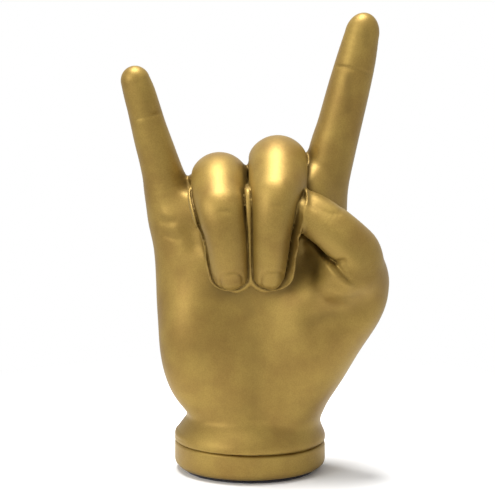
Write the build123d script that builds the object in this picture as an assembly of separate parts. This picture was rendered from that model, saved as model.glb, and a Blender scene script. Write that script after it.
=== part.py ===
from build123d import *
from math import cos, pi, radians, sin, tan
import os

# A free-standing ceramic hand, life size, that stands upright on its wrist.
# The palm faces -Y, the little finger is at -X and the thumb at +X.
# The index and little fingers stand up, and the ring and middle fingers are folded onto the palm.
# The thumb lies along the folded middle finger.
# Every digit is a hollow casting of its own, luted to the hollow palm with a short spigot in a socket.
# The wrist is luted into a beaded collar, which a slab with a drain hole closes, and felt covers its base.
# Millimetres. The origin is the middle of the underside of the felt, and +Z is up.

# Walls and joints
ceramic_wall = 4.5
luting_gap = 0.2
socket_step = 0.8
spigot_wall = 2.2
spigot_length = 5.0
shoulder_height = 2.5
cut_margin = 5.0
cut_overrun = 12.0

# Felt under the base
felt_thickness = 1.5
felt_inset = 4.0

# Collar and its floor slab
collar_thickness = 4.6
band_height = 11.4
band_edge_radius = 3.4
groove_depth = 1.3
groove_height = 1.0
bead_height = 7.2
ledge_height = 3.0
ledge_reach = 5.0
slab_thickness = 4.0
drain_hole_radius = 7.0
wrist_seat_height = 12.5

# Palm, from the seat in the collar to the tops of the knuckles
palm_length = 113.0
palm_half_width = 42.0
palm_half_depth = 21.0
wrist_half_width = 29.0
wrist_half_depth = 24.5

# Index finger
index_length = 91.4
index_half_width = 10.6
index_half_depth = 10.2
index_lean = 12.2
index_nod = 3.0
index_tip_length = 9.6

# Little finger
little_length = 74.3
little_half_width = 10.4
little_half_depth = 9.8
little_lean = -14.0
little_nod = 5.5
little_tip_length = 6.6

# Middle finger, folded
middle_reach = 34.5
middle_rise = 34.5
middle_fall = 47.0
middle_half_width = 12.6
middle_half_depth = 11.0
middle_tip_length = 7.0

# Ring finger, folded
ring_reach = 34.0
ring_rise = 29.2
ring_fall = 40.5
ring_half_width = 12.1
ring_half_depth = 10.5
ring_tip_length = 7.0

# Thumb and the ball of the thumb
thumb_half_width = 13.2
thumb_half_depth = 12.4
thumb_tip_length = 7.5
thumb_turn = 58.0
thumb_ball_radius = 16.0

# Levels that follow from the sizes above
collar_base_z = felt_thickness
slab_base_z = collar_base_z + ledge_height
wrist_seat_z = collar_base_z + wrist_seat_height
collar_top_z = collar_base_z + band_height + groove_height + bead_height
wrist_flatness = wrist_half_depth / wrist_half_width
collar_half_width = wrist_half_width + collar_thickness
quarter_turn = 90

# Palm sections: height, then the reach to the little finger side, the thumb side, the front and the back
PALM_SECTION_SHARES = [
    (0.13, 0.665, 0.765, 1.05, 1.06),
    (0.26, 0.775, 0.835, 1.02, 1.00),
    (0.39, 0.900, 0.893, 1.00, 0.95),
    (0.52, 0.970, 0.930, 0.93, 0.89),
    (0.66, 0.990, 0.940, 0.90, 0.84),
    (0.80, 1.000, 0.950, 0.78, 0.81),
    (0.89, 1.005, 0.950, 0.68, 0.76),
]
# Sections of the solid clay above the hollow of the palm, in the same order
PALM_TOP_SHARES = [
    (0.96, 0.930, 0.900, 0.45, 0.60),
    (0.975, 0.800, 0.780, 0.28, 0.40),
]

# Where the digits leave the palm: shares of its half width, half depth and length
INDEX_ROOT_SHARES = (0.685, 0.10, 0.80)
LITTLE_ROOT_SHARES = (-0.750, 0.14, 0.78)
MIDDLE_ROOT_SHARES = (0.285, 0.19, 0.815)
RING_ROOT_SHARES = (-0.315, 0.19, 0.80)

# Straight fingers: share of the length, sideways bow as a share of it, then half width and half depth
INDEX_STATION_SHARES = [
    (0.000, -0.010, 0.850, 0.74),
    (0.167, -0.012, 1.000, 1.00),
    (0.290, -0.013, 0.980, 0.98),
    (0.446, -0.014, 0.955, 0.96),
    (0.565, -0.008, 0.900, 0.90),
    (0.722, -0.004, 0.865, 0.85),
    (0.878, 0.000, 0.800, 0.76),
    (1.000, 0.000, 0.700, 0.64),
]
LITTLE_STATION_SHARES = [
    (0.000, 0.028, 0.850, 0.76),
    (0.290, 0.010, 0.920, 0.95),
    (0.430, 0.014, 0.865, 0.88),
    (0.533, 0.012, 0.810, 0.84),
    (0.632, 0.008, 0.770, 0.80),
    (0.731, 0.006, 0.725, 0.75),
    (0.830, 0.006, 0.690, 0.71),
    (0.928, 0.004, 0.665, 0.67),
    (1.000, 0.000, 0.610, 0.60),
]

# Folded fingers up to the bend: shares of the reach and of the rise, then half width and half depth
FOLD_RISE_SHARES = [
    (0.000, 0.000, 0.84, 0.90),
    (0.000, 0.300, 0.87, 0.91),
    (0.067, 0.750, 0.94, 0.95),
    (0.250, 0.933, 0.99, 0.99),
    (0.500, 1.000, 1.00, 1.00),
]
# Folded fingers past the bend: shares of the reach and of the fall, then half width and half depth
FOLD_FALL_SHARES = [
    (0.750, 0.049, 1.00, 0.99),
    (0.933, 0.184, 0.95, 0.94),
    (1.000, 0.367, 0.83, 0.87),
    (1.000, 0.600, 0.74, 0.79),
    (0.910, 0.860, 0.68, 0.72),
    (0.840, 1.000, 0.62, 0.66),
]
# Sideways drift of the folded fingers over the same eleven stations, towards the middle of the palm
FOLD_DRIFT_SHARES = [0.00, 0.00, 0.00, 0.00, 0.00, 0.00, 0.10, 0.30, 0.60, 0.90, 1.00]
middle_drift = -3.0
ring_drift = 4.9
# Body in the crook of a folded finger: shares of the reach and the rise, then of half width, depth and rise
CROOK_SHARES = (0.50, 0.34, 0.80, 0.90, 0.44)

# Ball of the thumb: shares of the palm's half width, half depth and length, then of the ball's radius
THUMB_BALL_SHARES = [
    (0.36, -0.30, 0.18, 1.00),
    (0.74, -0.45, 0.40, 0.97),
    (1.11, -0.57, 0.60, 0.88),
]
# Pads of the palm, below the thumb and behind it: place, then radii, as shares of the same three sizes
PAD_SHARES = [
    (0.595, -0.38, 0.46, 0.43, 0.785, 0.265),
    (0.86, -0.43, 0.69, 0.37, 0.62, 0.20),
]
# Thumb: shares of the palm's half width, half depth and length, then of its half width and half depth
THUMB_STATION_SHARES = [
    (1.118, -0.571, 0.585, 1.00, 1.00),
    (1.114, -0.810, 0.682, 0.92, 0.92),
    (1.060, -1.095, 0.783, 0.85, 0.84),
    (0.869, -1.165, 0.863, 0.76, 0.73),
    (0.655, -1.070, 0.923, 0.67, 0.62),
]


def unit_steps(points):
    """The direction of a path at each of its points, from the neighbours on both sides."""
    last = len(points) - 1
    return [(points[min(i + 1, last)] - points[max(i - 1, 0)]).normalized() for i in range(last + 1)]


def station_plane(point, direction, side):
    """A plane across a digit, with X along its width."""
    across = side - direction * side.dot(direction)
    return Plane(origin=point, x_dir=across.normalized(), z_dir=direction)


def dome(plane, half_width, half_depth, length):
    """Half an ellipsoid that stands on a plane."""
    half_ball = Sphere(1, arc_size1=0, align=(Align.CENTER, Align.CENTER, Align.MIN))
    return plane * scale(half_ball, by=(half_width, half_depth, length))


def digit_body(stations, side, tip_length, inset=0.0):
    """A digit lofted through oval stations (point, half width, half depth), with a domed tip."""
    points = [station[0] for station in stations]
    planes = [station_plane(p, d, side) for p, d in zip(points, unit_steps(points))]
    ovals = [plane * Ellipse(w - inset, d - inset) for plane, (_, w, d) in zip(planes, stations)]
    _, end_width, end_depth = stations[-1]
    tip = dome(planes[-1], end_width - inset, end_depth - inset, tip_length - inset)
    return loft(ovals) + tip


def palm_place(shares):
    """A point inside the palm, from shares of its half width, half depth and length."""
    x_share, y_share, z_share = shares
    return Vector(
        x_share * palm_half_width, y_share * palm_half_depth, wrist_seat_z + z_share * palm_length
    )


def straight_stations(root_shares, length, lean, nod, half_width, half_depth, table):
    """Stations of a finger that stands up from its root, leaning sideways and nodding forwards."""
    along = Vector(tan(radians(lean)), -tan(radians(nod)), 1).normalized()
    sideways = Vector(1, 0, 0)
    root = palm_place(root_shares)
    return [
        (root + along * (share * length) + sideways * (bow * length), w * half_width, d * half_depth)
        for share, bow, w, d in table
    ]


def folded_stations(root_shares, reach, rise, fall, drift, half_width, half_depth):
    """Stations of a finger that rises from its root, bends forwards and comes down on the palm."""
    root = palm_place(root_shares)
    rows = [(y, z * rise, w, d) for y, z, w, d in FOLD_RISE_SHARES]
    rows += [(y, rise - z * fall, w, d) for y, z, w, d in FOLD_FALL_SHARES]
    return [
        (root + Vector(aside * drift, -y * reach, z), w * half_width, d * half_depth)
        for (y, z, w, d), aside in zip(rows, FOLD_DRIFT_SHARES)
    ]


def thumb_stations():
    """Stations of the thumb, from the ball of the thumb up and over to its tip."""
    return [
        (palm_place((x, y, z)), w * thumb_half_width, d * thumb_half_depth)
        for x, y, z, w, d in THUMB_STATION_SHARES
    ]


def palm_face(height, little_side, thumb_side, front, back):
    """A level section of the palm made of four quarter ovals."""
    reaches = [(thumb_side, back), (little_side, back), (little_side, front), (thumb_side, front)]
    arcs = [
        EllipticalCenterArc((0, 0), across, deep, start_angle=i * quarter_turn, arc_size=quarter_turn)
        for i, (across, deep) in enumerate(reaches)
    ]
    return Pos(0, 0, height) * make_face(arcs)


def palm_body(inset, section_shares):
    """The wrist and palm through the given sections, all of them set in by the same length."""
    wrist_face = palm_face(
        wrist_seat_z, wrist_half_width - inset, wrist_half_width - inset,
        wrist_half_depth - inset, wrist_half_depth - inset,
    )
    wrist_top = Pos(0, 0, collar_top_z - wrist_seat_z) * wrist_face
    sections = [
        palm_face(
            wrist_seat_z + z * palm_length, little * palm_half_width - inset, thumb * palm_half_width - inset,
            front * palm_half_depth - inset, back * palm_half_depth - inset,
        )
        for z, little, thumb, front, back in section_shares
    ]
    return extrude(wrist_face, collar_top_z - wrist_seat_z) + loft([wrist_top] + sections)


def thumb_ball(inset):
    """The ball of the thumb, a rounded swelling from the wrist to the root of the thumb."""
    points = [palm_place((x, y, z)) for x, y, z, _ in THUMB_BALL_SHARES]
    radii = [share * thumb_ball_radius - inset for _, _, _, share in THUMB_BALL_SHARES]
    side = Vector(0, 1, 0)
    planes = [station_plane(p, d, side) for p, d in zip(points, unit_steps(points))]
    swelling = loft([plane * Circle(radius) for plane, radius in zip(planes, radii)])
    lower_plane = Plane(origin=points[0], x_dir=planes[0].x_dir, z_dir=-planes[0].z_dir)
    lower_dome = dome(lower_plane, radii[0], radii[0], radii[0])
    return swelling + lower_dome + dome(planes[-1], radii[-1], radii[-1], radii[-1])


def palm_pads(inset):
    """The fleshy pads of the palm beside and below the thumb."""
    pads = []
    for x, y, z, width, depth, height in PAD_SHARES:
        sizes = (width * palm_half_width - inset, depth * palm_half_depth - inset, height * palm_length - inset)
        pads.append(Pos(palm_place((x, y, z))) * scale(Sphere(1), by=sizes))
    return pads


def cut_place(stations, side, number, share):
    """The plane and the half sizes of the oval where a digit is luted, past one of its stations."""
    (near, near_width, near_depth), (far, far_width, far_depth) = stations[number:number + 2]
    plane = station_plane(near + (far - near) * share, (far - near).normalized(), side)
    half_width = near_width + (far_width - near_width) * share
    half_depth = near_depth + (far_depth - near_depth) * share
    return plane, half_width, half_depth


def oval_bar(plane, half_width, half_depth, below, above):
    """A straight oval bar along a digit's axis, on both sides of a plane."""
    return plane * extrude(Pos(0, 0, -below) * Ellipse(half_width, half_depth), below + above)


def digit_pieces(outer, core, stations, side, number, share):
    """A digit's solid above its luting plane, its hollow casting, and the palm's stub and hollow below."""
    plane, half_width, half_depth = cut_place(stations, side, number, share)
    stub_length = (plane.origin - stations[0][0]).length
    below = stub_length + cut_overrun
    root = oval_bar(plane, half_width + cut_margin, half_depth + cut_margin, below, 0)
    shoulder = oval_bar(plane, half_width + cut_margin, half_depth + cut_margin, below, shoulder_height)
    socket_inset = ceramic_wall - socket_step
    spigot_inset = socket_inset + luting_gap
    bore_inset = spigot_inset + spigot_wall
    spigot = oval_bar(
        plane, half_width - spigot_inset, half_depth - spigot_inset, spigot_length, shoulder_height
    )
    bore = oval_bar(
        plane, half_width - bore_inset, half_depth - bore_inset,
        spigot_length + cut_margin, shoulder_height + cut_margin,
    )
    socket = oval_bar(
        plane, half_width - socket_inset, half_depth - socket_inset, spigot_length + luting_gap, cut_margin
    )
    hollow = oval_bar(plane, half_width - ceramic_wall, half_depth - ceramic_wall, stub_length, 0)
    upper = outer - root
    casting = upper - (core - shoulder) + spigot - bore
    return upper, casting, outer & root, hollow + socket


def crook_body(root_shares, reach, rise, half_width, half_depth):
    """The solid body that fills the crook of a folded finger."""
    y_share, z_share, width_share, depth_share, height_share = CROOK_SHARES
    center = palm_place(root_shares) + Vector(0, -y_share * reach, z_share * rise)
    sizes = (width_share * half_width, depth_share * half_depth, height_share * rise)
    return Pos(center) * scale(Sphere(1), by=sizes)


def oval_plate(half_width, thickness):
    """A flat plate with the oval outline of the wrist."""
    return extrude(Ellipse(half_width, half_width * wrist_flatness), thickness)


def collar_body():
    """The collar, turned and pressed to an oval: band and bead outside, socket, seat and ledge inside."""
    groove_radius = collar_half_width - groove_depth
    band_top = collar_base_z + band_height
    groove_top = band_top + groove_height
    socket_radius = wrist_half_width + luting_gap
    seat_radius = wrist_half_width - ceramic_wall
    ledge_radius = seat_radius - ledge_reach
    bead_middle = (groove_top + collar_top_z) / 2
    edge_middle = band_edge_radius * (1 - cos(pi / 4))
    outline = [
        Line((ledge_radius, collar_base_z), (collar_half_width - band_edge_radius, collar_base_z)),
        ThreePointArc(
            (collar_half_width - band_edge_radius, collar_base_z),
            (collar_half_width - edge_middle, collar_base_z + edge_middle),
            (collar_half_width, collar_base_z + band_edge_radius),
        ),
        Polyline(
            (collar_half_width, collar_base_z + band_edge_radius),
            (collar_half_width, band_top), (groove_radius, band_top), (groove_radius, groove_top),
        ),
        ThreePointArc(
            (groove_radius, groove_top), (collar_half_width, bead_middle), (socket_radius, collar_top_z)
        ),
        Polyline(
            (socket_radius, collar_top_z), (socket_radius, wrist_seat_z), (seat_radius, wrist_seat_z),
            (seat_radius, slab_base_z), (ledge_radius, slab_base_z), (ledge_radius, collar_base_z),
        ),
    ]
    return scale(revolve(Plane.XZ * make_face(outline), Axis.Z), by=(1, wrist_flatness, 1))


def slab_body():
    """The floor slab with its drain hole, a loose fit inside the collar."""
    plate = oval_plate(wrist_half_width - ceramic_wall - luting_gap, slab_thickness)
    return Pos(0, 0, slab_base_z) * (plate - extrude(Circle(drain_hole_radius), slab_thickness))


def felt_body():
    """The felt under the whole base."""
    return oval_plate(collar_half_width - felt_inset, felt_thickness)


finger_side = Vector(1, 0, 0)
thumb_side = Vector(cos(radians(thumb_turn)), sin(radians(thumb_turn)), 0)

index_stations = straight_stations(
    INDEX_ROOT_SHARES, index_length, index_lean, index_nod,
    index_half_width, index_half_depth, INDEX_STATION_SHARES,
)
little_stations = straight_stations(
    LITTLE_ROOT_SHARES, little_length, little_lean, little_nod,
    little_half_width, little_half_depth, LITTLE_STATION_SHARES,
)
middle_stations = folded_stations(
    MIDDLE_ROOT_SHARES, middle_reach, middle_rise, middle_fall, middle_drift,
    middle_half_width, middle_half_depth,
)
ring_stations = folded_stations(
    RING_ROOT_SHARES, ring_reach, ring_rise, ring_fall, ring_drift, ring_half_width, ring_half_depth
)

# Every digit: stations, width direction, tip length, then the station and share where it is luted
DIGITS = {
    "index_finger": (index_stations, finger_side, index_tip_length, 1, 0.84),
    "little_finger": (little_stations, finger_side, little_tip_length, 1, 0.50),
    "middle_finger": (middle_stations, finger_side, middle_tip_length, 1, 0.74),
    "ring_finger": (ring_stations, finger_side, ring_tip_length, 1, 1.00),
    "thumb": (thumb_stations(), thumb_side, thumb_tip_length, 1, 0.60),
}
CROOKS = {
    "middle_finger": crook_body(
        MIDDLE_ROOT_SHARES, middle_reach, middle_rise, middle_half_width, middle_half_depth
    ),
    "ring_finger": crook_body(RING_ROOT_SHARES, ring_reach, ring_rise, ring_half_width, ring_half_depth),
}

uppers = {}
castings = {}
palm_outer = palm_body(0, PALM_SECTION_SHARES + PALM_TOP_SHARES) + thumb_ball(0) + palm_pads(0)
palm_core = palm_body(ceramic_wall, PALM_SECTION_SHARES) + thumb_ball(ceramic_wall) + palm_pads(ceramic_wall)
for name, (stations, side, tip_length, number, share) in DIGITS.items():
    outer = digit_body(stations, side, tip_length)
    core = digit_body(stations, side, tip_length, ceramic_wall)
    uppers[name], castings[name], stub, hollow = digit_pieces(outer, core, stations, side, number, share)
    palm_outer += stub
    palm_core += hollow
for upper in uppers.values():
    palm_outer -= upper

for name, crook in CROOKS.items():
    castings[name] += crook - uppers[name] - palm_outer
for name in ("ring_finger", "index_finger", "thumb"):
    castings[name] -= uppers["middle_finger"]

nodes = dict(castings)
nodes["palm_shell"] = palm_outer - palm_core
nodes["wrist_collar"] = collar_body()
nodes["floor_slab"] = slab_body()
nodes["base_felt"] = felt_body()

os.makedirs("parts", exist_ok=True)
for name, body in nodes.items():
    export_step(body, os.path.join("parts", name + ".step"))
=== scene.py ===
"""Looks of the gold-painted ceramic hand, laid out as an add-on: hand, collar, slab, felt and stage."""
from math import cos, pi, radians, sin, tan

import bpy
import numpy as np
import openvdb
from bpy.props import FloatProperty, FloatVectorProperty, IntProperty, PointerProperty, StringProperty
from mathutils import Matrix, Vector


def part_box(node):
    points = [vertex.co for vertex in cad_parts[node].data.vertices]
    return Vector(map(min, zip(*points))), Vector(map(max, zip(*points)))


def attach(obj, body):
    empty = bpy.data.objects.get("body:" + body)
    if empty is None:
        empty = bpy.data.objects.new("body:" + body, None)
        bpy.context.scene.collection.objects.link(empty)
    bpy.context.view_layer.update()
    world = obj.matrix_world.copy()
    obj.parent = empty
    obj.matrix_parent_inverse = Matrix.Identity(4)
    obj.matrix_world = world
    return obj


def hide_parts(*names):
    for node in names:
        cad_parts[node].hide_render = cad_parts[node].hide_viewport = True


bl_info = {
    "name": "Ceramic hand sculpture",
    "version": (1, 0, 0),
    "blender": (4, 5, 0),
    "location": "View3D > Sidebar > Hand",
    "description": "Builds the skin of a gold-painted ceramic hand over its packed solids, and its stage",
    "category": "Object",
}

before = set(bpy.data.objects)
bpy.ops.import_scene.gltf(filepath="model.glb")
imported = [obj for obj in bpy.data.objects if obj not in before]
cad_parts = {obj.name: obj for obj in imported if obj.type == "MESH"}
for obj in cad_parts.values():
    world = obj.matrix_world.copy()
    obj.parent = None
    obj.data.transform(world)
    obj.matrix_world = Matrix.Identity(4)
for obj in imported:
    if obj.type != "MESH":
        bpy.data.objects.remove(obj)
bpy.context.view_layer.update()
MM = 0.001

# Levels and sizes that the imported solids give, in millimetres
COLLAR_HALF_WIDTH, COLLAR_HALF_DEPTH, _ = np.array(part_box("wrist_collar")[1]) / MM
FELT_HALF_WIDTH, FELT_HALF_DEPTH, FELT_THICKNESS = np.array(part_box("base_felt")[1]) / MM
WRIST_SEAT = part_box("palm_shell")[0][2] / MM

# The hand in millimetres: the palm faces -Y, the little finger is at -X and the thumb at +X
PALM_LENGTH = 113.0
PALM_HALF_WIDTH = 42.0
PALM_HALF_DEPTH = 21.0
PALM_TOP = WRIST_SEAT + 0.985 * PALM_LENGTH
PALM_TOP_ROUNDING = 12.0
PALM_STEPS = 6
# How much squarer than an oval the palm's sections get, and between which levels
SQUARENESS = 0.35
SQUARE_LEVELS = (30.0, 60.0)
# The hollow of the palm: depth, middle across and up, and spread across and up
HOLLOW_DEPTH = 2.2
HOLLOW_PLACE = (-3.0, 80.0)
HOLLOW_SPREAD = (13.0, 15.0)
# Between which distances from the middle plane the hollow comes in, and the drawn lines do
HOLLOW_FRONTS = (2.0, 12.0)
DRAWN_FRONTS = (2.0, 10.0)
# The share of the palm's depth that the distance inside it stays within
CORE_SHARE = 0.8

# Palm sections: share of the length, then the reach to the little finger side, thumb side, front and back
PALM_SECTION_SHARES = [
    (0.00, 0.690, 0.690, 1.167, 1.167),
    (0.06, 0.685, 0.700, 1.150, 1.160),
    (0.13, 0.668, 0.765, 1.05, 1.06),
    (0.26, 0.775, 0.835, 1.02, 1.00),
    (0.39, 0.900, 0.893, 1.00, 0.95),
    (0.52, 0.970, 0.930, 0.93, 0.89),
    (0.66, 0.990, 0.940, 0.88, 0.84),
    (0.80, 1.000, 0.950, 0.80, 0.81),
    (0.89, 1.010, 0.950, 0.72, 0.76),
    (1.00, 1.000, 0.920, 0.60, 0.64),
]

# Digits in the order in which they join the palm, with the node that each one dresses
DIGIT_NODES = {
    "index": "index_finger",
    "little": "little_finger",
    "thumb": "thumb",
    "ring": "ring_finger",
    "middle": "middle_finger",
}
# Where each digit is luted to the palm: its station, and the share of the way to the next one
LUTING_PLACES = {
    "index": (1, 0.84),
    "little": (1, 0.50),
    "thumb": (4, 0.45),
    "ring": (2, 0.10),
    "middle": (1, 0.82),
}

# Pads of flesh that swell out of the palm and its back: middle, then radii
PADS = {
    "thenar": ((25.0, -8.0, 66.0), (18.0, 16.5, 30.0)),
    "thumb web": ((36.0, -9.0, 92.0), (15.5, 13.0, 22.6)),
    "skin fold": ((39.0, -24.0, 93.0), (11.0, 9.0, 9.5)),
    "middle knuckle": ((12.0, 6.0, 114.0), (9.0, 9.0, 11.0)),
    "ring knuckle": ((-12.0, 6.0, 110.5), (8.0, 8.5, 10.0)),
    "index web": ((27.5, -7.0, 120.0), (8.5, 9.5, 17.5)),
    "hypothenar": ((-22.0, -8.0, 58.0), (17.0, 13.5, 30.0)),
    "index knuckle": ((29.0, 3.5, 117.0), (10.5, 10.8, 10.0)),
    "little knuckle": ((-31.5, 2.5, 113.0), (10.0, 10.4, 10.0)),
}
PAD_BLEND = 11.0
CROOK_BLEND = 3.0
# The wrist flares into the bead of the collar: how far, and between which levels
FLARE_REACH = 4.7
FLARE_LEVELS = (15.0, 26.0)

# Lines drawn on the palm by depth, width and places across and up: creases and hollows sink, folds rise
PALM_STROKES = [
    (1.10, 1.1, [(21.7, 109.5), (27.6, 106.0), (32.3, 101.4), (36.2, 99.4), (39.6, 100.6)]),
    (0.80, 1.0, [(36.2, 98.6), (41.9, 92.2)]),
    (-0.80, 1.5, [(25.5, 104.6), (29.6, 101.0), (35.4, 94.4), (42.0, 90.0)]),
    (1.40, 3.6, [(23.5, 100.0), (29.5, 93.5)]),
    (-1.30, 6.5, [(28.0, 83.0), (38.0, 85.0)]),
    (1.30, 5.5, [(28.0, 72.0), (39.5, 75.5), (47.0, 79.0)]),
    (0.70, 6.0, [(2.1, 60.1), (3.4, 36.3)]),
    (2.40, 4.6, [(-24.6, 109.5), (-23.8, 104.0)]),
    (-0.50, 2.6, [(-36.3, 116.8), (-34.5, 115.6)]),
    (-0.45, 2.2, [(-32.8, 110.8), (-31.5, 109.6)]),
    (0.45, 1.6, [(-38.0, 113.4), (-33.5, 113.6)]),
    (0.40, 1.4, [(-36.5, 107.4), (-31.0, 106.0)]),
]
# Worn paint streaks on the fingers and painted shade in the palm's hollows and valleys, on the front, in the
# same form, by how brown it gets
WORN_AND_SHADE_STROKES = [
    # Worn paint: streaks down the index finger and the little finger
    (0.50, 2.5, [(49.9, 199.6), (49.6, 190.0)]),
    (0.60, 2.4, [(42.1, 176.3), (41.9, 162.1)]),
    (0.40, 3.4, [(41.0, 150.0), (40.2, 129.5)]),
    (0.45, 3.0, [(-44.0, 175.0), (-44.1, 162.1)]),
    # Painted shade: beside the ring finger, in the middle of the palm, down the wrist, in the valley of the
    # thenar and in the crease under the thumb
    (0.50, 4.5, [(-33.5, 115.0), (-22.5, 111.5)]),
    (0.45, 4.5, [(-20.0, 84.0), (-3.0, 79.5), (0.0, 75.0)]),
    (0.35, 7.0, [(1.0, 62.0), (2.2, 29.8)]),
    (0.35, 4.5, [(27.0, 72.0), (38.0, 76.0), (48.7, 81.0)]),
    (0.40, 4.0, [(22.0, 101.0), (29.5, 93.5)]),
]
# The same on the back: the tendons to the knuckles, the knuckles and the hollows between them
BACK_STROKES = [
    (-0.60, 2.6, [(8.0, 52.0), (29.0, 112.0)]),
    (-0.60, 2.6, [(3.0, 50.0), (11.5, 112.0)]),
    (-0.55, 2.5, [(-3.0, 50.0), (-12.5, 110.0)]),
    (-0.50, 2.4, [(-9.0, 52.0), (-29.0, 106.0)]),
    (0.80, 4.0, [(20.5, 104.0), (18.0, 96.0)]),
    (0.80, 4.0, [(-1.0, 104.0), (-1.0, 96.0)]),
    (0.80, 4.0, [(-21.5, 101.0), (-19.0, 94.0)]),
]
# Flesh that a folded finger is pressed into, over the shares of its length where it lies on the palm:
# its thickness beside a finger and between the two, how far it rises up a finger's side (0 at the middle
# of the side, 1 on its back), and how much further between the two
LYING_SHARES = (0.46, 0.58)
FLESH_WALL = 1.9
WEB_WALL = 2.6
RIM_LEVEL = 0.22
RIM_RISE = 0.16
RIM_STEEPNESS = 10.0
# Shares of a finger's half width towards the other one, over which the flesh turns into the web
BETWEEN_SHARES = (-0.2, 0.3)
# How high the web between the two goes, how its top and the rim are rounded, and how both fingers' flesh
# blends, with each other and into the palm
WEB_TOP = 131.0
WEB_ROUNDING = 3.0
RIM_ROUNDING = 1.6
WEB_BLEND = 0.8
FLESH_BLEND = 6.0
# The groove between finger and flesh: its width, how much narrower it is between the two fingers, how
# much wider and later it starts beside the thumb, how far it closes where there is none, the shares of the
# half width where it is at its widest, and how far below and above the rim it opens
GROOVE_WIDTH = 1.15
GROOVE_NARROWING = 0.35
GROOVE_WIDENING = 0.9
GROOVE_DELAY = 0.10
GROOVE_CLOSING = 1.5
GROOVE_WIDE_SHARES = (0.5, 0.9)
GROOVE_RAMP = (0.42, 0.06)
# Digits that part from the palm: the blend that is left, and the shares of the length where it shrinks
PARTINGS = {
    "thumb": (3.0, 0.60, 0.76),
    "ring": (0.7, 0.26, 0.44),
    "middle": (0.7, 0.26, 0.44),
}

# Meshing: a distance for all that is out of reach, the room round the solids, how much coarser the grid
# is away from the skin and how many such steps from it that starts, how freely flat faces are merged, and
# how many places are worked out at a time
FAR = 40.0
MARGIN = 4.0
COARSENESS = 5
BAND = 1.25
MERGING = 0.0014
CHUNK = 200000
# How near a cut a point counts as on it, how far a round of settling moves a point at the most and the
# least slope that it reckons with, the step that slopes are measured over, and the inside wall of a piece
SNAP = 0.06
MOST_SETTLING = 0.5
LEAST_SLOPE = 0.5
SLOPE_STEP = 0.12
INSIDE_WALL = 1.3
# Patina and painted shade in the creases: how far out the skin is probed, the share that still counts as
# flat, and the strength
PATINA_AND_SHADE_PROBES = [(2.0, 0.12, 1.6), (0.7, 0.15, 1.4)]
# Levels from which lines are drawn, and up to which: creases and folds, and worn paint with painted shade
LINES_BOTTOM = 28.0
CREASES_TOP = 124.0
WORN_AND_SHADE_TOP = 210.0

# Faces are owned by the front of the palm until a digit or the back of the palm claims them
PALM_OWNER = 0
BACK_OWNER = len(DIGIT_NODES) + 1
CASTING_NODES = ["palm_shell"] + list(DIGIT_NODES.values())
SKINS = [("palm_front_skin", "palm_shell")]
SKINS += [(node_name + "_skin", node_name) for node_name in DIGIT_NODES.values()]
SKINS += [("palm_back_skin", "palm_shell")]

# Felt: share of the radius and of the thickness of each ring, from the middle below to the middle above
FELT_RINGS = [
    (0.55, 0.0), (0.975, 0.0), (0.994, 0.12), (1.0, 0.35), (1.0, 0.72), (0.992, 0.93), (0.975, 1.0),
    (0.55, 1.0),
]
FELT_STEPS = 160
FRAY_SHARE = 0.004
FRAY_COUNT = 23.0
FRAY_START = 0.9

# Stage in metres: half the floor, and where its paper fades to white round the object; then the strength
# of the light all round, and the width of the camera's sensor
FLOOR_REACH = 3.0
FADE_START = 0.07
FADE_END = 0.22
SOFT_LIGHT = 0.45
SENSOR_MM = 36.0
GOLD = "gold bronze paint on ceramic"
# Lamps: name, place, aim, size in metres and power in watts
LAMPS = [
    ("top softbox", (-0.08, 0.0, 1.05), (0.0, 0.0, 0.10), 0.45, 17.0),
    ("front softbox", (-0.75, -0.65, 0.50), (0.0, 0.0, 0.10), 0.6, 5.2),
]


def smooth_min(a, b, radius):
    """The lesser of two distances, rounded where they are within a radius of each other."""
    h = np.maximum(radius - np.abs(a - b), 0.0) / radius
    return np.minimum(a, b) - h * h * h * radius / 6.0


def smooth_max(a, b, radius):
    """The greater of two distances, rounded where they are within a radius of each other."""
    return -smooth_min(-a, -b, radius)


def ramp(value, low, high):
    """0 below low, 1 above high and smooth between."""
    t = np.clip((value - low) / (high - low), 0.0, 1.0)
    return t * t * (3.0 - 2.0 * t)


def bell(value, width):
    """1 at zero, falling off like a bell."""
    return np.exp(-((value / width) ** 2))


def ellipsoid(points, middle, radii):
    """About the distance to an ellipsoid."""
    offset = (points - np.array(middle)) / np.array(radii)
    level = np.linalg.norm(offset, axis=1) + 1e-9
    slope = np.linalg.norm(offset / np.array(radii), axis=1) + 1e-9
    return level * (level - 1.0) / slope


def smooth_rows(rows, steps):
    """Catmull-Rom rows through the given rows, with a number of steps between each pair."""
    rows = np.array(rows, dtype=float)
    padded = np.vstack([2 * rows[0] - rows[1], rows, 2 * rows[-1] - rows[-2]])
    out = []
    for i in range(1, len(padded) - 2):
        before, here, there, after = padded[i - 1:i + 3]
        for step in range(steps):
            t = step / steps
            out.append(0.5 * (
                2 * here + (there - before) * t
                + (2 * before - 5 * here + 4 * there - after) * t ** 2
                + (3 * here - before - 3 * there + after) * t ** 3
            ))
    out.append(rows[-1])
    return np.array(out)


def palm_place(x_share, y_share, z_share):
    """A point inside the palm, from shares of its half width, half depth and length."""
    return np.array([
        x_share * PALM_HALF_WIDTH, y_share * PALM_HALF_DEPTH, WRIST_SEAT + z_share * PALM_LENGTH
    ])


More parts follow.
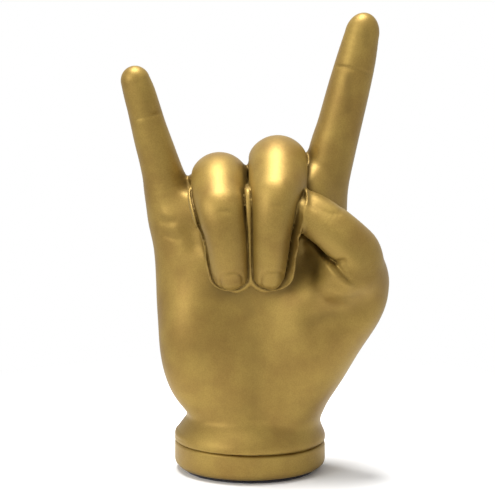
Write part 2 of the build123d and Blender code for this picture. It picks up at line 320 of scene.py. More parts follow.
class Digit:
    """A finger or thumb: a smooth chain of oval stations with a domed tip, and the relief on it."""

    def __init__(self, stations, side, tip_length, blend, relief, steps=4):
        self.steps = steps
        rows = smooth_rows([list(point) + [width, depth] for point, width, depth in stations], steps)
        self.points = rows[:, :3]
        self.widths = rows[:, 3]
        self.depths = rows[:, 4]
        self.tip_length = tip_length
        self.blend = blend
        self.relief = relief
        runs = np.diff(self.points, axis=0)
        self.lengths = np.linalg.norm(runs, axis=1)
        self.starts = np.concatenate([[0.0], np.cumsum(self.lengths)])
        self.axes = runs / self.lengths[:, None]
        joined = np.vstack([self.axes[:1], self.axes[:-1] + self.axes[1:], self.axes[-1:]])
        self.sides = side - joined * (joined @ side / (joined ** 2).sum(1))[:, None]
        self.sides /= np.linalg.norm(self.sides, axis=1)[:, None]
        self.reach = max(self.widths.max(), self.depths.max(), tip_length) + 10.0
        self.low = self.points.min(0) - self.reach
        self.high = self.points.max(0) + self.reach

    def length(self):
        """The length of the chain without its tip."""
        return self.starts[-1]

    def place_at(self, number, share):
        """The length along the chain at a share of the way past one of the stations it was given."""
        return np.interp((number + share) * self.steps, np.arange(len(self.starts)), self.starts)

    def locate(self, points):
        """Distance to the digit, place along it, and the shares of its width and depth at each point."""
        count = len(points)
        best = np.full(count, FAR)
        along = np.zeros(count)
        across = np.zeros(count)
        outward = np.zeros(count)
        last = len(self.lengths) - 1
        for i, (start, axis, length) in enumerate(zip(self.points, self.axes, self.lengths)):
            middle = start + axis * (length / 2)
            near = np.flatnonzero(((points - middle) ** 2).sum(1) < (length / 2 + self.reach) ** 2)
            if not len(near):
                continue
            offset = points[near] - start
            run = offset @ axis
            t = np.clip(run / length, 0.0, 1.0)
            side = self.sides[i] + t[:, None] * (self.sides[i + 1] - self.sides[i])
            width = self.widths[i] + t * (self.widths[i + 1] - self.widths[i])
            depth = self.depths[i] + t * (self.depths[i + 1] - self.depths[i])
            beyond = run - t * length
            inner = offset - run[:, None] * axis
            x = (inner * side).sum(1)
            y = inner @ np.cross(axis, self.sides[i])
            end_length = np.where((beyond > 0) & (i == last), self.tip_length, np.minimum(width, depth))
            a, b, c = x / width, y / depth, beyond / end_length
            level = np.sqrt(a * a + b * b + c * c) + 1e-9
            slope = np.sqrt((a / width) ** 2 + (b / depth) ** 2 + (c / end_length) ** 2) + 1e-9
            distance = level * (level - 1.0) / slope
            nearer = distance < best[near]
            place = near[nearer]
            best[place] = distance[nearer]
            along[place] = (self.starts[i] + t * length + np.maximum(beyond, 0.0))[nearer]
            across[place] = a[nearer]
            outward[place] = b[nearer]
        return best, along, across, outward


def straight_finger(root, length, lean, nod, half_width, half_depth, table):
    """Stations of a finger that stands up from its root: share of length, bow, width and depth."""
    along = np.array([tan(radians(lean)), -tan(radians(nod)), 1.0])
    along /= np.linalg.norm(along)
    sideways = np.array([1.0, 0.0, 0.0])
    return [
        (root + along * (share * length) + sideways * (bow * length), w * half_width, d * half_depth)
        for share, bow, w, d in table
    ]


def folded_finger(root, reach, rise, fall, drift, half_width, half_depth):
    """Stations of a finger that rises, bends forwards and comes down on the palm."""
    rows = [(y, z * rise, w, d) for y, z, w, d in FOLD_RISE_SHARES]
    rows += [(y, rise - z * fall, w, d) for y, z, w, d in FOLD_FALL_SHARES]
    return [
        (root + np.array([aside * drift, -y * reach, z]), w * half_width, d * half_depth)
        for (y, z, w, d), aside in zip(rows, FOLD_DRIFT_SHARES)
    ]


# Straight fingers: share of the length, sideways bow, then half width and half depth
INDEX_TABLE = [
    (0.000, -0.024, 0.90, 0.82),
    (0.167, -0.020, 0.97, 1.00),
    (0.290, -0.015, 0.97, 0.98),
    (0.446, -0.014, 0.955, 0.96),
    (0.565, -0.008, 0.90, 0.90),
    (0.722, -0.004, 0.865, 0.85),
    (0.878, 0.000, 0.80, 0.76),
    (1.000, 0.000, 0.70, 0.64),
]
LITTLE_TABLE = [
    (0.000, 0.020, 0.90, 0.80),
    (0.290, 0.010, 0.92, 0.95),
    (0.430, 0.014, 0.865, 0.88),
    (0.533, 0.012, 0.81, 0.84),
    (0.632, 0.008, 0.77, 0.80),
    (0.731, 0.006, 0.725, 0.75),
    (0.830, 0.006, 0.69, 0.71),
    (0.928, 0.004, 0.665, 0.67),
    (1.000, 0.000, 0.61, 0.60),
]
# Folded fingers: shares of the reach and of the rise or the fall, then half width and half depth
FOLD_RISE_SHARES = [
    (0.000, 0.000, 0.84, 0.90),
    (0.000, 0.300, 0.87, 0.91),
    (0.029, 0.710, 0.94, 0.95),
    (0.160, 0.928, 0.99, 0.99),
    (0.362, 0.994, 1.00, 1.00),
]
FOLD_FALL_SHARES = [
    (0.594, 0.085, 1.00, 0.99),
    (0.812, 0.223, 0.96, 0.96),
    (0.962, 0.372, 0.86, 0.90),
    (1.000, 0.564, 0.77, 0.81),
    (0.925, 0.860, 0.69, 0.73),
    (0.840, 1.000, 0.63, 0.66),
]
FOLD_DRIFT_SHARES = [0.00, 0.00, 0.00, 0.00, 0.00, 0.00, 0.10, 0.30, 0.60, 0.90, 1.00]
FOLDED_TIP = 7.0
FOLDED_STEPS = 12
# Thumb with its ball: how far its flat sides are turned, its tip, and the middle of each station, then
# half width and half depth
THUMB_TURN = 58.0
THUMB_TIP = 7.5
THUMB_BLEND = 12.0
THUMB_STEPS = 8
THUMB_STATIONS = [
    ((15.1, -6.3, 34.3), 16.0, 16.0),
    ((31.1, -9.5, 59.2), 15.5, 15.5),
    ((43.5, -11.6, 76.5), 14.4, 14.4),
    ((47.4, -13.5, 86.0), 13.2, 12.8),
    ((46.8, -18.0, 94.0), 12.0, 11.4),
    ((44.5, -23.0, 102.5), 11.2, 10.4),
    ((36.5, -25.0, 111.0), 10.4, 10.2),
    ((27.0, -24.0, 118.3), 9.2, 9.2),
    ((19.5, -21.5, 122.6), 7.6, 7.6),
]


def nail(along, across, outward, middle, half_length, half_width, soft=1.0):
    """Relief of a fingernail: a raised plate in a groove, with a low fold of skin round it."""
    level = (np.abs((along - middle) / half_length) ** 2.3 + np.abs(across / half_width) ** 2.3) ** (1 / 2.3)
    plate = -0.10 * (1.0 - ramp(level, 0.84, 0.98))
    groove = 0.40 / soft * bell(level - 1.02, 0.11 * soft)
    fold = -0.08 / soft * bell(level - 1.24, 0.14) * (1.0 - ramp(along - middle, 0.0, half_length))
    return ramp(outward, 0.05, 0.45) * (plate + groove + fold)


def cross_lines(along, across, outward, places, depth, width):
    """Relief of fine lines across the back (positive) or the inside (negative) of a joint."""
    relief = np.zeros(len(along))
    for place, bend, facing in places:
        line = along - place - bend * across * across
        relief += depth * bell(line, width) * ramp(facing * outward, 0.15, 0.75)
    return relief


def straight_relief(lines, line_depth, line_width, nail_length, swelling, swelling_share, swelling_width):
    """Relief of a straight finger: the nail on its back, its joint lines and the swelling between them."""
    def relief(along, across, outward, length):
        """The relief at each point."""
        places = [(share * length, bend, facing) for share, bend, facing in lines]
        return (
            nail(along, across, outward, middle=length - 0.5, half_length=nail_length, half_width=0.80)
            + cross_lines(along, across, outward, places, line_depth, line_width)
            + swelling * bell(along - swelling_share * length, swelling_width) * ramp(outward, 0.0, 0.7)
        )
    return relief


# Joint lines: share of the length, bend, and 1 on the back of the finger or -1 on its inside
index_relief = straight_relief(
    [(0.57, 0.9, 1), (0.60, 0.3, 1), (0.63, -0.6, 1), (0.83, 0.4, 1), (0.855, -0.4, 1), (0.845, -1.2, -1)],
    line_depth=0.45, line_width=0.75, nail_length=6.8, swelling=-0.5, swelling_share=0.60, swelling_width=7.0,
)
little_relief = straight_relief(
    [(0.54, 0.7, 1), (0.57, 0.1, 1), (0.60, -0.5, 1), (0.79, 0.3, 1), (0.80, -1.0, -1)],
    line_depth=0.42, line_width=0.7, nail_length=5.4, swelling=-0.4, swelling_share=0.57, swelling_width=6.0,
)


def folded_relief(along, across, outward, length):
    """Nail at the tip of a folded finger, its angular knuckle, and the faint wrinkle below that."""
    back = ramp(outward, 0.1, 0.8)
    wrinkle = 0.30 * bell(along - 0.71 * length, 0.6) * bell(across - 0.12, 0.25) * back
    knuckle = back * (
        0.7 * bell(along - 0.42 * length, 8.0) + 0.6 * bell(along - 0.55 * length, 6.0)
        - 0.7 * bell(along - 0.66 * length, 4.6)
    )
    plate = nail(along, across - 0.06, outward, middle=length + 0.2, half_length=5.6, half_width=0.60)
    return plate + wrinkle + knuckle


def middle_relief(along, across, outward, length):
    """The folded finger's relief, and its flank drawn in beside the thumb."""
    flank = 2.3 * ramp(across, 0.15, 0.95) * ramp(along / length, 0.58, 0.70)
    return folded_relief(along, across, outward, length) + flank


def thumb_relief(along, across, outward, length):
    """Nail on the upper side of the thumb, and the fold between its upper side and its front."""
    fading = ramp(along / length, 0.62, 0.76)
    fold = bell(outward - 0.36 * across, 0.42) * ramp(across, 0.2, 0.9) * fading
    upper = bell(0.82 * across - 0.57 * outward, 0.34) * ramp(0.57 * across + 0.82 * outward, 0.4, 0.9)
    plate = nail(
        along, across, outward, middle=length - 8.5, half_length=8.0, half_width=0.62, soft=2.2)
    return plate - 0.8 * fold + 0.6 * upper * fading


# Straight fingers: root as shares of the palm, length, lean, nod, half width, half depth, tip, then the
# table of stations and the relief
STRAIGHT_FINGERS = {
    "index": ((0.685, 0.10, 0.80), 91.4, 12.2, 3.0, 10.6, 10.2, 9.6, INDEX_TABLE, index_relief),
    "little": ((-0.750, 0.14, 0.78), 74.3, -14.0, 5.5, 10.4, 9.8, 6.6, LITTLE_TABLE, little_relief),
}
STRAIGHT_BLEND = 9.0
# Folded fingers: root as shares of the palm, reach, rise, fall, drift, half width, half depth, blend, then
# the relief; and the flesh in the crook of each: its middle and its radii, as shares of these sizes
FOLDED_FINGERS = {
    "middle": ((0.285, 0.19, 0.815), 34.5, 34.5, 47.0, -3.0, 12.6, 11.0, 10.0, middle_relief),
    "ring": ((-0.315, 0.19, 0.80), 34.0, 29.2, 40.5, 4.9, 12.1, 10.5, 7.0, folded_relief),
}
CROOK_MIDDLE = (0.0, -0.50, 0.30)
CROOK_RADII = (0.82, 0.42, 0.62)


class Hand:
    """The whole hand as one field of distances, in millimetres: negative inside, positive outside."""

    def __init__(self):
        x_axis = np.array([1.0, 0.0, 0.0])
        turn = radians(THUMB_TURN)
        self.digits = {"thumb": Digit(
            [(np.array(point), width, depth) for point, width, depth in THUMB_STATIONS],
            np.array([-cos(turn), -sin(turn), 0.0]), THUMB_TIP, THUMB_BLEND, thumb_relief, THUMB_STEPS,
        )}
        for name, (shares, length, lean, nod, width, depth, tip, table, relief) in STRAIGHT_FINGERS.items():
            stations = straight_finger(palm_place(*shares), length, lean, nod, width, depth, table)
            self.digits[name] = Digit(stations, x_axis, tip, STRAIGHT_BLEND, relief)
        # Each folded finger, and the flesh that fills its crook
        self.crooks = []
        for name, (shares, reach, rise, fall, drift, width, depth, blend, relief) in FOLDED_FINGERS.items():
            root = palm_place(*shares)
            stations = folded_finger(root, reach, rise, fall, drift, width, depth)
            self.digits[name] = Digit(stations, x_axis, FOLDED_TIP, blend, relief, FOLDED_STEPS)
            sizes = np.array([width, reach, rise])
            self.crooks.append((root + CROOK_MIDDLE * sizes, CROOK_RADII * sizes))
        sections = np.array(PALM_SECTION_SHARES)
        self.section_heights = WRIST_SEAT + sections[:, 0] * PALM_LENGTH
        self.section_reaches = sections[:, 1:] * np.array(
            [PALM_HALF_WIDTH, PALM_HALF_WIDTH, PALM_HALF_DEPTH, PALM_HALF_DEPTH]
        )
        smoothed = smooth_rows(np.column_stack([self.section_heights, self.section_reaches]), PALM_STEPS)
        self.section_heights, self.section_reaches = smoothed[:, 0], smoothed[:, 1:]

    def palm(self, points):
        """Distance to the wrist and palm without the digits."""
        x, y, z = points.T
        little, thumb, front, back = [
            np.interp(z, self.section_heights, self.section_reaches[:, i]) for i in range(4)
        ]
        flare = FLARE_REACH * (1.0 - ramp(z, *FLARE_LEVELS))
        a = np.abs(x) / (np.where(x < 0, little, thumb) + flare)
        b = np.abs(y) / (np.where(y < 0, front, back) + flare)
        power = 2.0 + SQUARENESS * ramp(z, *SQUARE_LEVELS)
        level = (a ** power + b ** power) ** (1.0 / power) + 1e-9
        radius = np.hypot(x, y)
        distance = radius * (1.0 - 1.0 / level)
        distance = np.maximum(distance, -CORE_SHARE * np.minimum(front, back))
        distance = smooth_max(distance, z - PALM_TOP, PALM_TOP_ROUNDING)
        distance = np.maximum(distance, WRIST_SEAT - z)
        for middle, radii in PADS.values():
            distance = smooth_min(distance, ellipsoid(points, middle, radii), PAD_BLEND)
        for middle, radii in self.crooks:
            distance = smooth_min(distance, ellipsoid(points, middle, radii), CROOK_BLEND)
        hollow = HOLLOW_DEPTH * (
            bell(x - HOLLOW_PLACE[0], HOLLOW_SPREAD[0]) * bell(z - HOLLOW_PLACE[1], HOLLOW_SPREAD[1])
        )
        return distance + hollow * ramp(-y, *HOLLOW_FRONTS)

    def drawn(self, points, strokes, facing, top=CREASES_TOP):
        """Amounts of the lines drawn on the palm (facing -1) or on the back (facing 1), up to a level."""
        relief = np.zeros(len(points))
        levels = points[:, 2]
        outside = facing * points[:, 1] > DRAWN_FRONTS[0]
        near = np.flatnonzero(outside & (levels > LINES_BOTTOM) & (levels < top))
        x, y, z = points[near].T
        total = np.zeros(len(near))
        for amount, width, line in strokes:
            nearest = np.full(len(near), FAR)
            for (x0, z0), (x1, z1) in zip(line[:-1], line[1:]):
                run = (x - x0) * (x1 - x0) + (z - z0) * (z1 - z0)
                t = np.clip(run / ((x1 - x0) ** 2 + (z1 - z0) ** 2), 0.0, 1.0)
                nearest = np.minimum(nearest, np.hypot(x - x0 - t * (x1 - x0), z - z0 - t * (z1 - z0)))
            total += amount * bell(nearest, width)
        relief[near] = total * ramp(facing * y, *DRAWN_FRONTS)
        return relief

    def digit(self, name, points):
        """Distance to one digit with its relief, the place along it and the blend radius."""
        digit = self.digits[name]
        distance = np.full(len(points), FAR)
        places = np.zeros(len(points))
        blend = np.full(len(points), 1.0)
        flesh = np.full((2, len(points)), FAR)
        flesh[1] = -FAR
        near = ((points > digit.low) & (points < digit.high)).all(1)
        if near.any():
            found, along, across, outward = digit.locate(points[near])
            length = digit.length()
            if name in FOLDED_FINGERS:
                flesh[:, near] = self.flesh(
                    name, points[near, 2], found, along / length, across, outward)
            found = found + digit.relief(along, across, outward, length)
            distance[near] = found
            places[near] = along
            blend[near] = digit.blend
            if name in PARTINGS:
                least, start, end = PARTINGS[name]
                blend[near] = digit.blend + (least - digit.blend) * ramp(along / length, start, end)
        return distance, places, blend, flesh

    def flesh(self, name, heights, distance, share, across, outward):
        """Flesh of the palm that a folded finger is pressed into, and the groove between the two."""
        inward = across if name == "ring" else -across
        between = ramp(inward, *BETWEEN_SHARES)
        beside_thumb = (name == "middle") * (1.0 - between)
        later = GROOVE_DELAY * beside_thumb
        lying = ramp(share, LYING_SHARES[0] + later, LYING_SHARES[1] + later)
        thick = FLESH_WALL * lying + (WEB_WALL - FLESH_WALL * lying) * between
        rim = RIM_LEVEL + RIM_RISE * between
        wall = smooth_max(distance - thick, (outward - rim) * RIM_STEEPNESS, RIM_ROUNDING)
        wall = smooth_max(wall, heights - WEB_TOP, WEB_ROUNDING)
        wide = GROOVE_WIDENING * lying * beside_thumb * ramp(-inward, *GROOVE_WIDE_SHARES)
        opening = ramp(outward, rim - GROOVE_RAMP[0], rim + GROOVE_RAMP[1]) * lying
        width = GROOVE_WIDTH - GROOVE_NARROWING * between + wide
        return wall, width * opening - distance - GROOVE_CLOSING * (1.0 - opening)

    def parts(self, points):
        """Distances to the palm and the digits, each on its own, the places along them and their blends."""
        distances = {}
        places = {}
        blends = {}
        flesh = {}
        for name in DIGIT_NODES:
            distances[name], places[name], blends[name], flesh[name] = self.digit(name, points)
        wall = smooth_min(flesh["ring"][0], flesh["middle"][0], WEB_BLEND)
        palm = smooth_min(self.palm(points), wall, FLESH_BLEND)
        distances["palm"] = np.max([palm, flesh["ring"][1], flesh["middle"][1]], axis=0)
        return distances, places, blends

    def skin(self, points):
        """Distance to the skin of the whole hand."""
        distances, _, blends = self.parts(points)
        whole = distances["palm"]
        for name in DIGIT_NODES:
            whole = smooth_min(whole, distances[name], blends[name])
        return whole + self.drawn(points, PALM_STROKES, -1) + self.drawn(points, BACK_STROKES, 1)

    def slope(self, points):
        """The skin distance and its slope at each point, whose direction is the outward normal."""
        here = self.skin(points)
        ahead = [self.skin(points + SLOPE_STEP * axis) for axis in np.eye(3)]
        return here, np.stack([value - here for value in ahead], axis=1) / SLOPE_STEP

    def claim(self, name, points):
        """A level that is negative where the skin belongs to a digit rather than to the rest."""
        distances, places, _ = self.parts(points)
        rest = np.min([value for other, value in distances.items() if other != name], axis=0)
        start = self.digits[name].place_at(*LUTING_PLACES[name])
        return np.maximum(distances[name] - rest, start - places[name])


def narrow_band(field, low, high, step):
    """A fine grid of a field's values, worked out only near the surface and filled coarsely elsewhere."""
    coarse = step * COARSENESS
    counts = np.ceil((high - low) / coarse).astype(int)
    axes = [low[i] + coarse * np.arange(counts[i]) + (coarse - step) / 2 for i in range(3)]
    centres = np.stack(np.meshgrid(*axes, indexing="ij"), -1).reshape(-1, 3)
    values = field(centres)
    grid = values.reshape(counts)
    for axis in range(3):
        grid = np.repeat(grid, COARSENESS, axis)
    cells = np.argwhere((np.abs(values) < BAND * coarse).reshape(counts))
    shifts = np.stack(np.meshgrid(*[np.arange(COARSENESS)] * 3, indexing="ij"), -1).reshape(-1, 3)
    places = (cells[:, None, :] * COARSENESS + shifts[None]).reshape(-1, 3)
    for start in range(0, len(places), CHUNK):
        part = places[start:start + CHUNK]
        grid[tuple(part.T)] = field(low + part * step)
    return grid


def surface(field, low, high, step):
    """Points and triangles of the surface of a field, facing outwards."""
    volume = openvdb.FloatGrid(FAR)
    volume.copyFromArray(np.ascontiguousarray(narrow_band(field, low, high, step), dtype=np.float32))
    places, triangles, quads = volume.convertToPolygons(0.0, MERGING)
    points = low + places.astype(float) * step
    faces = np.vstack([triangles, quads[:, [0, 1, 2]], quads[:, [0, 2, 3]]]).astype(int)
    a, b, c = points[faces[:, 0]], points[faces[:, 1]], points[faces[:, 2]]
    volume_inside = (a * np.cross(b, c)).sum()
    return points, faces if volume_inside > 0 else faces[:, ::-1]


def vertex_normals(points, faces):
    """Outward normals of the points, averaged over the faces round them."""
    a, b, c = points[faces[:, 0]], points[faces[:, 1]], points[faces[:, 2]]
    across = np.cross(b - a, c - a)
    normals = np.column_stack([
        sum(np.bincount(faces[:, corner], across[:, axis], len(points)) for corner in range(3))
        for axis in range(3)
    ])
    return normals / (np.linalg.norm(normals, axis=1)[:, None] + 1e-12)


def settle(hand, points, faces, rounds):
    """Points moved onto the skin, with their outward normals."""
    for _ in range(rounds):
        here, slope = hand.slope(points)
        steepness = np.maximum(np.linalg.norm(slope, axis=1), LEAST_SLOPE)
        step = np.clip(here / steepness, -MOST_SETTLING, MOST_SETTLING)
        points = points - slope * (step / steepness)[:, None]
    normals = vertex_normals(points, faces)
    # One round of averaging with the neighbours evens out the shading
    evened = normals.copy()
    for corner in range(3):
        for axis in range(3):
            evened[:, axis] += np.bincount(
                faces[:, corner], normals[faces[:, (corner + 1) % 3], axis], len(points))
    return points, evened / (np.linalg.norm(evened, axis=1)[:, None] + 1e-12)


def cut_along(points, faces, owners, level, owner):
    """Split the triangles along the line where a level is zero, and give its negative side to an owner."""
    level = np.where(np.abs(level) < SNAP, 0.0, level)
    edges = np.sort(np.vstack([faces[:, [0, 1]], faces[:, [1, 2]], faces[:, [2, 0]]]), axis=1)
    unique, inverse = np.unique(edges, axis=0, return_inverse=True)
    crossed = level[unique[:, 0]] * level[unique[:, 1]] < 0
    first, second = unique[crossed].T
    share = (level[first] / (level[first] - level[second]))[:, None]
    number = np.full(len(unique), -1)
    number[crossed] = len(points) + np.arange(len(first))
    points = np.vstack([points, points[first] + (points[second] - points[first]) * share])
    level = np.concatenate([level, np.zeros(len(first))])
    middles = number[inverse.reshape(-1)].reshape(3, -1).T
    count = (middles >= 0).sum(1)
    pieces = [faces[count == 0]]
    kept = [owners[count == 0]]
    for turn in range(3):
        a, b, c = faces[:, turn], faces[:, (turn + 1) % 3], faces[:, (turn + 2) % 3]
        ab, ca = middles[:, turn], middles[:, (turn + 2) % 3]
        one = (count == 1) & (ab >= 0)
        pieces += [np.column_stack([a, ab, c])[one], np.column_stack([ab, b, c])[one]]
        kept += [owners[one]] * 2
        two = (count == 2) & (ab >= 0) & (ca >= 0)
        pieces += [
            np.column_stack([a, ab, ca])[two], np.column_stack([ab, b, c])[two],
            np.column_stack([ab, c, ca])[two],
        ]
        kept += [owners[two]] * 3
    faces = np.vstack(pieces)
    owners = np.concatenate(kept)
    owners[(level[faces].sum(1) < 0) & (owners == PALM_OWNER)] = owner
    return points, faces, owners


def placed(name, data):
    """An object with its data, linked into the scene."""
    made = bpy.data.objects.new(name, data)
    bpy.context.collection.objects.link(made)
    return made


def aimed(holder, place, aim):
    """Put a lamp or a camera at a place and turn it to a point."""
    holder.location = place
    holder.rotation_euler = (Vector(aim) - Vector(place)).to_track_quat("-Z", "Y").to_euler()


def closed_shell(name, points, normals, recess, faces):
    """A closed piece: the skin, the inside wall a wall's thickness behind it, and a rim between them."""
    used, faces = np.unique(faces, return_inverse=True)
    faces = faces.reshape(-1, 3)
    outer, facing = points[used], normals[used]
    count = len(outer)
    edges = np.vstack([faces[:, [0, 1]], faces[:, [1, 2]], faces[:, [2, 0]]])
    keys = edges[:, 0].astype(np.int64) * count + edges[:, 1]
    turned = edges[:, 1].astype(np.int64) * count + edges[:, 0]
    rim = edges[~np.isin(keys, turned)]
    near, far = rim[:, 0], rim[:, 1]
    rim_faces = np.vstack([
        np.column_stack([far, near, near + count]), np.column_stack([far, near + count, far + count]),
    ])
    whole = np.vstack([faces, faces[:, ::-1] + count, rim_faces])
    places = np.vstack([outer, outer - facing * INSIDE_WALL])
    a, b, c = places[rim_faces[:, 0]], places[rim_faces[:, 1]], places[rim_faces[:, 2]]
    rim_normals = np.cross(b - a, c - a)
    rim_normals /= np.linalg.norm(rim_normals, axis=1)[:, None] + 1e-12
    loop_normals = np.vstack([
        facing[faces].reshape(-1, 3), -facing[faces[:, ::-1]].reshape(-1, 3),
        np.repeat(rim_normals, 3, axis=0),
    ])
    mesh = bpy.data.meshes.new(name)
    mesh.from_pydata((places * MM).tolist(), [], whole.tolist())
    mesh.polygons.foreach_set("use_smooth", [True] * len(whole))
    mesh.normals_split_custom_set(loop_normals.tolist())
    layer = mesh.attributes.new("recess", "FLOAT", "POINT")
    layer.data.foreach_set("value", np.concatenate([recess[used], recess[used]]).astype(np.float32))
    return placed(name, mesh)


def linear(text):
    """An sRGB hex colour as linear red, green, blue and alpha."""
    shares = [int(text[i:i + 2], 16) / 255 for i in (1, 3, 5)]
    return [s / 12.92 if s <= 0.04045 else ((s + 0.055) / 1.055) ** 2.4 for s in shares] + [1.0]


def node(tree, kind, inputs=None, stops=(), **settings):
    """Add a node with its settings, its inputs (values or other nodes' outputs) and a ramp's stops."""
    made = tree.nodes.new(kind)
    for name, value in settings.items():
        setattr(made, name, value)
    for name, value in (inputs or {}).items():
        if isinstance(value, bpy.types.NodeSocket):
            tree.links.new(value, made.inputs[name])
        else:
            made.inputs[name].default_value = value
    for number, (place, colour) in enumerate(stops):
        made.color_ramp.elements[number].position = place
        made.color_ramp.elements[number].color = linear(colour)
    return made


def new_material(name):
    """An empty node material and its tree."""
    material = bpy.data.materials.new(name)
    material.use_nodes = True
    material.node_tree.nodes.clear()
    return material, material.node_tree


def lumps(tree, sizes):
    """Noise of each named size: the width of its lumps in millimetres, and its detail."""
    place = node(tree, "ShaderNodeTexCoord").outputs["Object"]
    return {name: node(tree, "ShaderNodeTexNoise", {
        "Vector": place, "Scale": 1 / (size * MM), "Detail": detail,
    }).outputs["Fac"] for name, (size, detail) in sizes.items()}


def gold_paint(settings):
    """Gold bronze paint, brushed over glazed ceramic: a warm satin metal with fine flake grain."""
    material, tree = new_material(GOLD)
    # Clouds of thicker and thinner paint, worn brown patches, metal flakes (coarser than real flakes, so
    # that they show), the waviness of brush and casting, and the paint's grain
    noise = lumps(tree, {
        "clouds": (14.0, 3.0), "patches": (8.0, 4.0), "flakes": (0.5, 2.0), "waves": (3.2, 3.0),
        "grain": (0.6, 3.0),
    })
    patina_and_shade_colour = linear(settings.patina_and_shade_hex)
    paint = node(tree, "ShaderNodeValToRGB", {"Fac": noise["clouds"]},
                 [(0.34, settings.shade_hex), (0.66, settings.gold_hex)])
    wear = node(tree, "ShaderNodeValToRGB", {"Fac": noise["patches"]}, [(0.56, "#000000"), (0.74, "#606060")])
    worn = node(tree, "ShaderNodeMix", data_type="RGBA",
                inputs={0: wear.outputs[0], 6: paint.outputs[0], 7: patina_and_shade_colour})
    flakes = node(tree, "ShaderNodeValToRGB", {"Fac": noise["flakes"]},
                  [(0.36, "#C8BBA0"), (0.62, "#FFFFFF")])
    grained = node(tree, "ShaderNodeMix", data_type="RGBA", blend_type="MULTIPLY",
                   inputs={0: 0.30, 6: worn.outputs[2], 7: flakes.outputs[0]})
    # Patina and painted shade that gather in the creases and hollows, from the recess attribute of the skin
    recess = node(tree, "ShaderNodeAttribute", attribute_name="recess").outputs["Fac"]
    broken = node(tree, "ShaderNodeMapRange", {"Value": noise["patches"], "To Min": 0.45, "To Max": 1.45})
    uneven = node(tree, "ShaderNodeMath", {0: recess, 1: broken.outputs[0]}, operation="MULTIPLY",
                  use_clamp=True)
    patina_and_shade = node(tree, "ShaderNodeMix", data_type="RGBA",
                  inputs={0: uneven.outputs[0], 6: grained.outputs[2], 7: patina_and_shade_colour})
    rough = node(tree, "ShaderNodeMapRange", {"Value": noise["clouds"], "To Min": 0.42, "To Max": 0.56})
    soft = node(tree, "ShaderNodeBump", {"Height": noise["waves"], "Strength": 0.35, "Distance": 0.25 * MM})
    fine = node(tree, "ShaderNodeBump", {
        "Height": noise["grain"], "Normal": soft.outputs[0], "Strength": 0.35, "Distance": 0.06 * MM,
    })
    finish = node(tree, "ShaderNodeBsdfPrincipled", {
        "Base Color": patina_and_shade.outputs[2], "Metallic": settings.metallic, "Roughness": rough.outputs[0],
        "Normal": fine.outputs[0],
    })
    node(tree, "ShaderNodeOutputMaterial", {"Surface": finish.outputs[0]})
    return material


def bare_clay():
    """Unglazed white earthenware, as fired: matt and slightly gritty."""
    material, tree = new_material("unglazed earthenware")
    # Clouds of the body's colour, and grog grit
    noise = lumps(tree, {"clouds": (6.0, 4.0), "grit": (0.7, 2.0)})
    colour = node(tree, "ShaderNodeValToRGB", {"Fac": noise["clouds"]}, [(0.3, "#CFC6B4"), (0.7, "#E2DBCC")])
    bump = node(tree, "ShaderNodeBump", {"Height": noise["grit"], "Strength": 0.4, "Distance": 0.08 * MM})
    finish = node(tree, "ShaderNodeBsdfPrincipled", {
        "Base Color": colour.outputs[0], "Roughness": 0.85, "Normal": bump.outputs[0],
    })
    node(tree, "ShaderNodeOutputMaterial", {"Surface": finish.outputs[0]})
    return material


def pressed_felt():
    """Black pressed wool felt: matt, with short tangled fibres."""
    material, tree = new_material("pressed wool felt")
    tufts = lumps(tree, {"tufts": (0.8, 6.0)})["tufts"]
    colour = node(tree, "ShaderNodeValToRGB", {"Fac": tufts}, [(0.3, "#17161A"), (0.7, "#34323A")])
    bump = node(tree, "ShaderNodeBump", {"Height": tufts, "Strength": 0.7, "Distance": 0.2 * MM})
    finish = node(tree, "ShaderNodeBsdfPrincipled", {
        "Base Color": colour.outputs[0], "Roughness": 0.95, "Sheen Weight": 0.3, "Normal": bump.outputs[0],
    })
    node(tree, "ShaderNodeOutputMaterial", {"Surface": finish.outputs[0]})
    return material


